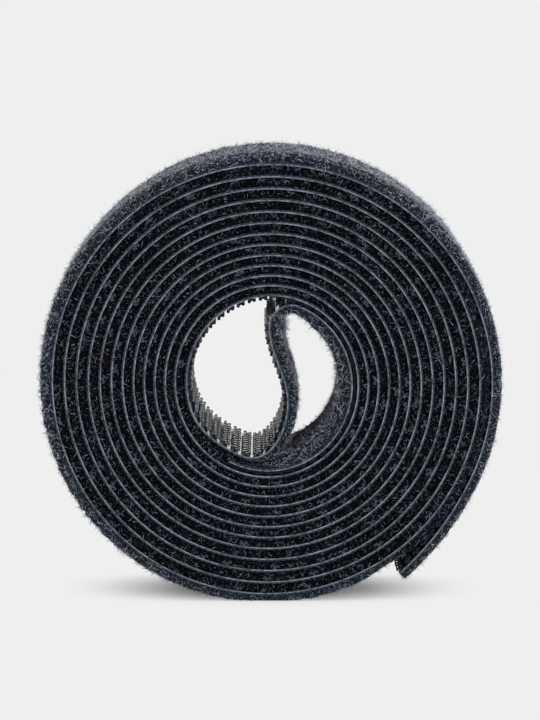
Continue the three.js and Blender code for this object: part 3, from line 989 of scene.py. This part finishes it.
def free_pile(
    name,
    line,
    height,
    seed,
    matted=PILE_MATTED,
    lengths=FIBRE_LENGTHS,
    tangle=pile_finish,
    loops=brushed_finish,
):
    """The pile where it shows: a lumpy matted core and the loose fibres over it"""
    lumpy = {"threads": PILE_THREADS, "lump_height": LUMP_HEIGHT, "edge_drop": EDGE_DROP}
    core = band(name, line, pile_floor, height * matted, pile_width, tangle, **lumpy)
    fuzz = furred(
        name + "_fibres",
        core,
        loops,
        seed,
        crown=CROWN_LOOPS,
        lengths=lengths,
        tuft=1.2,
        curl=0.5,
        droop=0.6,
        thickness=FIBRE_THICKNESS,
        joints=3,
    )
    return core, fuzz


covered_turns = np.concatenate([lobe_turns, buried_turns, [under_turn]])
covered_heights = room_outside(covered_turns) + PILE_PRESSED
ends = np.linspace(at_lobe, at_outer, COVERED_PARTS + 1).round().astype(int)
for k in range(COVERED_PARTS):
    name = f"covered_pile_{k + 1}"
    heights = covered_heights[ends[k] - at_lobe : ends[k + 1] - at_lobe + 1]
    line = whole_line.part(ends[k], ends[k + 1])
    # Painted shade: the core and its loops between the turns are coloured near black.
    core = band(name, line, pile_floor, heights, pile_width, between_turns_shade_finish)
    fitted(core, "loop_web", "wound_roll")
    tangle = furred(
        name + "_fibres",
        core,
        shaded_loop_finish,
        COVERED_SEED + k,
        crown=0,
        lengths=TANGLE_LENGTHS,
        tuft=0.8,
        curl=0.7,
        droop=0.2,
        thickness=TANGLE_THICKNESS,
        joints=2,
    )
    fitted(tangle, "loop_web", "wound_roll")

freed = smooth(outer_turns, covered_turn, covered_turn + FREE_RISE)
closing = smooth(outer_turns, covered_turn - RISE_BEFORE, covered_turn)
under_end = np.minimum(room_outside(outer_turns), mixed(PILE_FREE, PILE_FREED, closing))
outer_heights = np.where(outer_turns < covered_turn, under_end, mixed(PILE_FREED, PILE_FREE, freed))
to_left = np.sin(2 * math.pi * (outer_turns + FULLER_TURN))
outer_heights += PILE_FULLER * freed * np.maximum(0, to_left) ** 3
outer_heights = np.append(outer_heights, PILE_FREE)
ends = np.linspace(at_outer, at_free, OUTER_PARTS + 1).round().astype(int)
for k in range(OUTER_PARTS):
    heights = outer_heights[ends[k] - at_outer : ends[k + 1] - at_outer + 1]
    line = whole_line.part(ends[k], ends[k + 1])
    # The first part lies under the free end, where its core and loops carry painted shade.
    looks = {"tangle": under_end_shade_finish, "loops": shaded_loop_finish} if k == 0 else {}
    for piece in free_pile(f"outer_pile_{k + 1}", line, heights, OUTER_SEED + k, **looks):
        fitted(piece, "loop_web", "wound_roll")

inner_line = whole_line.part(0, at_lobe)
past_bend = smooth(inner_line.run, inner_line.run[at_turn_over] - BEND_DROP, inner_line.run[at_turn_over])
below_bend = inner_line.run - inner_line.run[at_turn_over + CURVE_STEPS // 2]
inner_heights = mixed(PILE_BORE, PILE_TONGUE, past_bend)
swelling = smooth(below_bend, 0, BEND_RISE) - smooth(below_bend, BEND_RISE, BEND_RISE + BEND_FALL)
inner_heights = np.minimum(inner_heights + BEND_FULLER * swelling, room_inside(inner_line))
for piece in free_pile("inner_pile", inner_line, inner_heights, INNER_SEED, BORE_MATTED, BORE_LENGTHS):
    fitted(piece, "loop_web", "wound_roll")

held = {"height": HELD_HEIGHT, "material": rubbed_finish}
slit = {
    "every": 2 * HOOK_PITCH,
    "slices": 2,
    "pitch": edge_lanes,
    "sway": SLIT_SWAY,
    "draw_back": SLIT_DRAW_BACK,
    "material": slit_finish,
}
hook_stretches = (
    ("bend_hooks", at_turn_over, at_tongue, {"material": rubbed_finish}),
    ("bore_hooks", at_tongue, at_buried, {}),
    ("crescent_hooks", 0, at_turn_over, held),
    ("wall_hooks", at_buried, at_wall_end, held),
    ("edge_hooks", at_wall_end, at_free, slit),
)
for k, (name, first, last, looks) in enumerate(hook_stretches):
    hooks = hooked(name, whole_line.part(first, last), HOOK_SEED + k, **looks)
    fitted(hooks, "hook_web", "wound_roll")


# Free end: one piece across each hinge, from the middle of a length to the middle of the next
def merged(pieces):
    """Objects joined into the first of them, each part keeping its material"""
    if len(pieces) > 1:
        with bpy.context.temp_override(active_object=pieces[0], selected_editable_objects=pieces):
            bpy.ops.object.join()
    return pieces[0]


def free_end_webs(tag, line, number):
    webs = {slot: [band(f"{tag}_{slot}", line, *shape)] for slot, shape in flat_layers.items()}
    webs["hook_web"].append(hooked(tag + "_hooks", line, FREE_HOOK_SEED + number, material=rubbed_finish))
    webs["loop_web"].extend(free_pile(tag + "_pile", line, PILE_END, FREE_PILE_SEED + number))
    return {slot: merged(pieces) for slot, pieces in webs.items()}


bodies = ["wound_roll"] + [f"tab_{k + 1}" for k in range(TAB_LENGTHS)]
for k in range(TAB_LENGTHS + 1):
    begin = at_free + k * TAB_STEPS
    line = whole_line.part(begin, min(begin + TAB_STEPS, len(whole_line.run) - 1))
    for slot, piece in free_end_webs(f"free_end_{k + 1}", line, k + 1).items():
        if k < TAB_LENGTHS:
            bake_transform(piece)
            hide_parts(f"tab_{k + 1}_{slot}")
        else:
            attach(piece, bodies[k])

bpy.data.objects.remove(double_hook)

# Camera, in line with the roll's axis and a little above it
VIEW_HEIGHT = 8.5  # degrees
VIEW_DISTANCE = 520
LONG_SIDE_ANGLE = 12.06  # degrees over the picture's height
AIM = (0.11, -10, 37.64)

camera_data = bpy.data.cameras.new("camera")
camera_data.sensor_width = 36
camera_data.lens = camera_data.sensor_width / 2 / math.tan(math.radians(LONG_SIDE_ANGLE / 2))
camera = bpy.data.objects.new("camera", camera_data)
bpy.context.scene.collection.objects.link(camera)
back = Vector((0, -math.cos(math.radians(VIEW_HEIGHT)), math.sin(math.radians(VIEW_HEIGHT))))
camera.location = (Vector(AIM) + back * VIEW_DISTANCE) * MM
camera.rotation_euler = back.to_track_quat("Z", "Y").to_euler()
camera_data.clip_start = 0.01
bpy.context.scene.camera = camera

# Light: an even white room, a wide soft light overhead and weak ones from the front right and the back
BACKGROUND = "#efefef"
ROOM_LIGHT = 0.6
MIDDLE = (0, 0, 35)  # of the roll, at which the lights point


def seen_by_eye(tree):
    """One for what the camera sees, also by way of gloss and glass, and zero for what only gives light"""
    ray = add(tree, "ShaderNodeLightPath").outputs
    mirrored = {0: ray["Is Glossy Ray"], 1: ray["Is Transmission Ray"]}
    mirrored = add(tree, "ShaderNodeMath", mirrored, operation="MAXIMUM")
    return add(tree, "ShaderNodeMath", {0: ray["Is Camera Ray"], 1: mirrored}, operation="MAXIMUM")


world = bpy.data.worlds.new("white_room")
bpy.context.scene.world = world
world.use_nodes = True
world_tree = world.node_tree
world_tree.nodes.clear()
room = add(world_tree, "ShaderNodeBackground", {"Color": (1, 1, 1, 1), "Strength": ROOM_LIGHT})
backdrop = add(world_tree, "ShaderNodeBackground", {"Color": linear(BACKGROUND), "Strength": 1.0})
shown = add(world_tree, "ShaderNodeMixShader", {0: seen_by_eye(world_tree), 1: room, 2: backdrop})
add(world_tree, "ShaderNodeOutputWorld", {"Surface": shown})


def soft_light(name, place, width, height, watts):
    data = bpy.data.lights.new(name, "AREA")
    data.shape = "RECTANGLE"
    data.size = width * MM
    data.size_y = height * MM
    data.energy = watts
    lamp = bpy.data.objects.new(name, data)
    lamp.location = Vector(place) * MM
    lamp.rotation_euler = (Vector(place) - Vector(MIDDLE)).to_track_quat("Z", "Y").to_euler()
    bpy.context.scene.collection.objects.link(lamp)


soft_light("overhead_light", place=(20, -80, 600), width=700, height=500, watts=2.9)
soft_light("back_light", place=(0, 600, 220), width=700, height=300, watts=0.4)
soft_light("front_light", place=(450, -550, 250), width=400, height=400, watts=1.4)

# Floor: pale paper that keeps the roll's shadow and passes into the background away from it
FLOOR_RADIUS = 400
FADE_FROM = 8  # along the floor from the foot, less in depth
FADE_TO = 36
FADE_DEPTH = 0.45
PAPER_GLOW = 0.06  # share of the background that fills the shadow

floor_material, floor_tree = new_material("pale_paper")
paper = add(floor_tree, "ShaderNodeBsdfPrincipled", {"Base Color": linear(BACKGROUND), "Roughness": 0.9})
floor_place = add(floor_tree, "ShaderNodeTexCoord").outputs["Object"]
oval = {0: floor_place, 1: (1, 1 / FADE_DEPTH, 1)}
oval = add(floor_tree, "ShaderNodeVectorMath", oval, operation="MULTIPLY")
far = add(floor_tree, "ShaderNodeVectorMath", {0: oval}, operation="LENGTH").outputs["Value"]
ring = {"Value": far, "From Min": FADE_FROM * MM, "From Max": FADE_TO * MM, "To Min": PAPER_GLOW}
fade = add(floor_tree, "ShaderNodeMapRange", ring, interpolation_type="SMOOTHSTEP")
share = add(floor_tree, "ShaderNodeMath", {0: fade, 1: seen_by_eye(floor_tree)}, operation="MULTIPLY")
white = add(floor_tree, "ShaderNodeEmission", {"Color": linear(BACKGROUND), "Strength": 1.0})
shown = add(floor_tree, "ShaderNodeMixShader", {0: share, 1: paper, 2: white})
add(floor_tree, "ShaderNodeOutputMaterial", {"Surface": shown})

floor_shape = bmesh.new()
bmesh.ops.create_circle(floor_shape, cap_ends=True, segments=96, radius=FLOOR_RADIUS * MM)
floor_mesh = bpy.data.meshes.new("floor")
floor_shape.to_mesh(floor_mesh)
floor_shape.free()
floor_mesh.materials.append(floor_material)
floor = bpy.data.objects.new("floor", floor_mesh)
bpy.context.scene.collection.objects.link(floor)

bpy.context.scene.view_settings.view_transform = "Standard"
